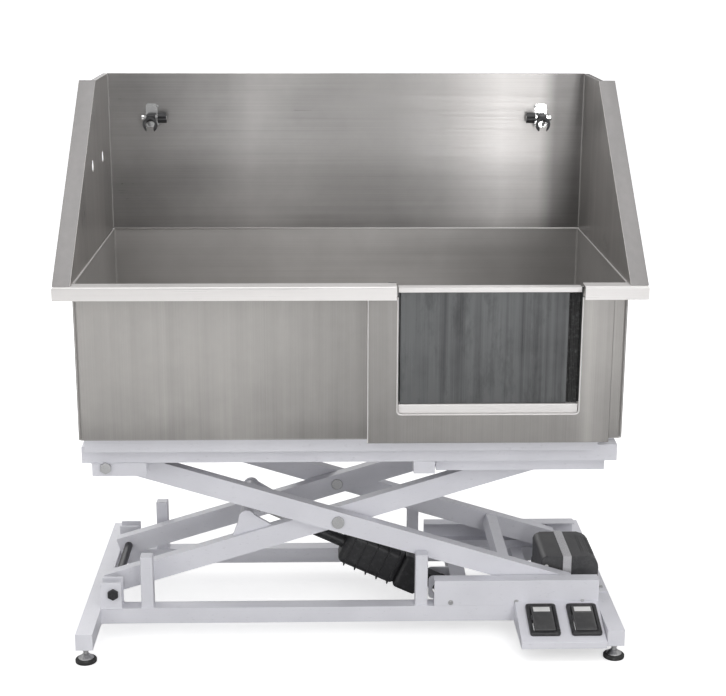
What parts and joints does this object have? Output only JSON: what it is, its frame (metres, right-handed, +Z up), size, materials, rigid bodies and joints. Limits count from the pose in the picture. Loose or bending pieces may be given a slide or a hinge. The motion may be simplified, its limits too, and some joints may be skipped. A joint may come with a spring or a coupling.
{
  "type": "pet bathtub",
  "caption": "Stainless pet bath with splash hood and lift-up front door, carried on an electric scissor lift with foot pedals.",
  "frame": {"origin": "on the floor under the middle of the whole object", "axes": "+X along the tub to the user's right, +Y to the back, +Z up"},
  "size_m": [1.3, 0.72, 1.305],
  "materials": {
    "stainless": "satin brushed stainless sheet",
    "lift_paint": "satin powder coat",
    "zinc_steel": "zinc plated",
    "polished_steel": "polished",
    "black_plastic": "fine texture",
    "pedal_rubber": "ribbed",
    "foot_rubber": "matte",
    "nylon": "smooth",
    "strap": "webbing",
    "lead_sheath": "smooth"
  },
  "bodies": {
    "base": {"base_beams": "lift_paint", "base_rails": "lift_paint", "lower_brackets": "lift_paint", "rest_posts": "lift_paint", "lower_tracks": "lift_paint", "actuator_mount": "lift_paint", "pedal_box": "lift_paint", "pedal_housings": "black_plastic", "control_tray": "lift_paint", "control_box": "black_plastic", "control_strap": "strap", "connector_plugs": "black_plastic", "pedal_lead": "lead_sheath", "actuator_lead": "lead_sheath"},
    "inner_arm_pair": {"inner_arms": "lift_paint", "lower_pivot_shaft": "zinc_steel", "lever": "lift_paint", "upper_roller_axles": "zinc_steel"},
    "outer_arm_pair": {"outer_arms": "lift_paint", "upper_pivot_shaft": "zinc_steel", "centre_pins": "zinc_steel", "outer_arm_cross_tube": "lift_paint", "lower_roller_axles": "zinc_steel"},
    "tub": {"upper_frame_tubes": "lift_paint", "upper_brackets": "lift_paint", "upper_tracks": "lift_paint", "tub_skirts": "lift_paint", "basin_floor": "stainless", "basin_front": "stainless", "basin_back": "stainless", "basin_ends": "stainless", "door_frame": "stainless", "rim": "stainless", "splash_back": "stainless", "wing_left": "stainless", "wing_right": "stainless", "drain_body": "polished_steel", "door_guides": "stainless", "door_sill": "stainless", "holder_plates": "polished_steel"},
    "actuator_rod": {"actuator_rod": "zinc_steel"},
    "actuator": {"actuator_tube": "black_plastic", "actuator_housing": "black_plastic", "actuator_foot_pin": "zinc_steel"},
    "door": {"door_panel": "stainless"},
    "strainer": {"drain_strainer": "polished_steel"},
    "lower_roller_front": {"lower_roller_front": "nylon"},
    "lower_roller_rear": {"lower_roller_rear": "nylon"},
    "upper_roller_front": {"upper_roller_front": "nylon"},
    "upper_roller_rear": {"upper_roller_rear": "nylon"},
    "cradle_left": {"shower_cradle_left": "black_plastic"},
    "cradle_right": {"shower_cradle_right": "black_plastic"},
    "knob_left": {"holder_knob_left": "black_plastic"},
    "knob_right": {"holder_knob_right": "black_plastic"},
    "pedal_up": {"pedal_up": "pedal_rubber"},
    "pedal_down": {"pedal_down": "pedal_rubber"},
    "foot_front_left": {"foot_front_left": "foot_rubber"},
    "foot_front_right": {"foot_front_right": "foot_rubber"},
    "foot_rear_left": {"foot_rear_left": "foot_rubber"},
    "foot_rear_right": {"foot_rear_right": "foot_rubber"}
  },
  "joints": [
    {"name": "lift_main", "type": "hinge", "parent": "base", "child": "inner_arm_pair", "pos_m": [-0.569, 0.005, 0.116], "axis": [0, -1, 0], "range_deg": [-11.2, 18]},
    {"name": "scissor_pin", "type": "hinge", "parent": "inner_arm_pair", "child": "outer_arm_pair", "pos_m": [-0.02869, 0.005, 0.28119], "axis": [0, -1, 0], "range_deg": [-36.1, 22.5]},
    {"name": "tub_level", "type": "hinge", "parent": "outer_arm_pair", "child": "tub", "pos_m": [-0.569, 0.005, 0.44638], "axis": [0, -1, 0], "range_deg": [-11.3, 18.1]},
    {"name": "rod_pivot", "type": "hinge", "parent": "inner_arm_pair", "child": "actuator_rod", "pos_m": [-0.25, 0.005, 0.275], "axis": [0, -1, 0], "range_deg": [-24.4, 15.3]},
    {"name": "actuator_stroke", "type": "slide", "parent": "actuator_rod", "child": "actuator", "axis": [0.9071, 0, -0.4208], "range_m": [-0.0562, 0.09]},
    {"name": "door_lift", "type": "slide", "parent": "tub", "child": "door", "axis": [0, 0, 1], "range_m": [0, 0.28]},
    {"name": "strainer_lift", "type": "slide", "parent": "tub", "child": "strainer", "axis": [0, 0, 1], "range_m": [0, 0.15]},
    {"name": "lower_roller_front_spin", "type": "hinge", "parent": "outer_arm_pair", "child": "lower_roller_front", "pos_m": [0.51162, -0.179, 0.116], "axis": [0, 1, 0], "continuous": true},
    {"name": "lower_roller_rear_spin", "type": "hinge", "parent": "outer_arm_pair", "child": "lower_roller_rear", "pos_m": [0.51162, 0.189, 0.116], "axis": [0, 1, 0], "continuous": true},
    {"name": "upper_roller_front_spin", "type": "hinge", "parent": "inner_arm_pair", "child": "upper_roller_front", "pos_m": [0.51162, -0.166, 0.44638], "axis": [0, 1, 0], "continuous": true},
    {"name": "upper_roller_rear_spin", "type": "hinge", "parent": "inner_arm_pair", "child": "upper_roller_rear", "pos_m": [0.51162, 0.176, 0.44638], "axis": [0, 1, 0], "continuous": true},
    {"name": "cradle_tilt_left", "type": "hinge", "parent": "tub", "child": "cradle_left", "pos_m": [-0.5, 0.324, 1.195], "axis": [1, 0, 0], "range_deg": [-40, 40]},
    {"name": "knob_turn_left", "type": "hinge", "parent": "tub", "child": "knob_left", "pos_m": [-0.4715, 0.324, 1.195], "axis": [1, 0, 0], "continuous": true},
    {"name": "cradle_tilt_right", "type": "hinge", "parent": "tub", "child": "cradle_right", "pos_m": [0.5, 0.324, 1.195], "axis": [1, 0, 0], "range_deg": [-40, 40]},
    {"name": "knob_turn_right", "type": "hinge", "parent": "tub", "child": "knob_right", "pos_m": [0.4715, 0.324, 1.195], "axis": [1, 0, 0], "continuous": true},
    {"name": "pedal_up_press", "type": "hinge", "parent": "base", "child": "pedal_up", "pos_m": [0.457, -0.2249, 0.0901], "axis": [1, 0, 0], "range_deg": [0, 4], "stiffness_Nm_per_rad": 2, "springref_deg": -3.44},
    {"name": "pedal_down_press", "type": "hinge", "parent": "base", "child": "pedal_down", "pos_m": [0.555, -0.2249, 0.0901], "axis": [1, 0, 0], "range_deg": [0, 4], "stiffness_Nm_per_rad": 2, "springref_deg": -3.44},
    {"name": "foot_swivel_front_left", "type": "hinge", "parent": "base", "child": "foot_front_left", "pos_m": [-0.62, -0.318, 0.02], "axis": [0, 0, 1], "continuous": true},
    {"name": "foot_swivel_front_right", "type": "hinge", "parent": "base", "child": "foot_front_right", "pos_m": [0.62, -0.318, 0.02], "axis": [0, 0, 1], "continuous": true},
    {"name": "foot_swivel_rear_left", "type": "hinge", "parent": "base", "child": "foot_rear_left", "pos_m": [-0.62, 0.335, 0.02], "axis": [0, 0, 1], "continuous": true},
    {"name": "foot_swivel_rear_right", "type": "hinge", "parent": "base", "child": "foot_rear_right", "pos_m": [0.62, 0.335, 0.02], "axis": [0, 0, 1], "continuous": true}
  ],
  "couplings": [
    {"joint": "scissor_pin", "follows": "lift_main", "ratio": -2},
    {"joint": "tub_level", "follows": "lift_main", "ratio": 1},
    {"joint": "rod_pivot", "follows": "lift_main", "ratio": -1.349},
    {"joint": "actuator_stroke", "follows": "lift_main", "m_per_rad": 0.2848}
  ]
}
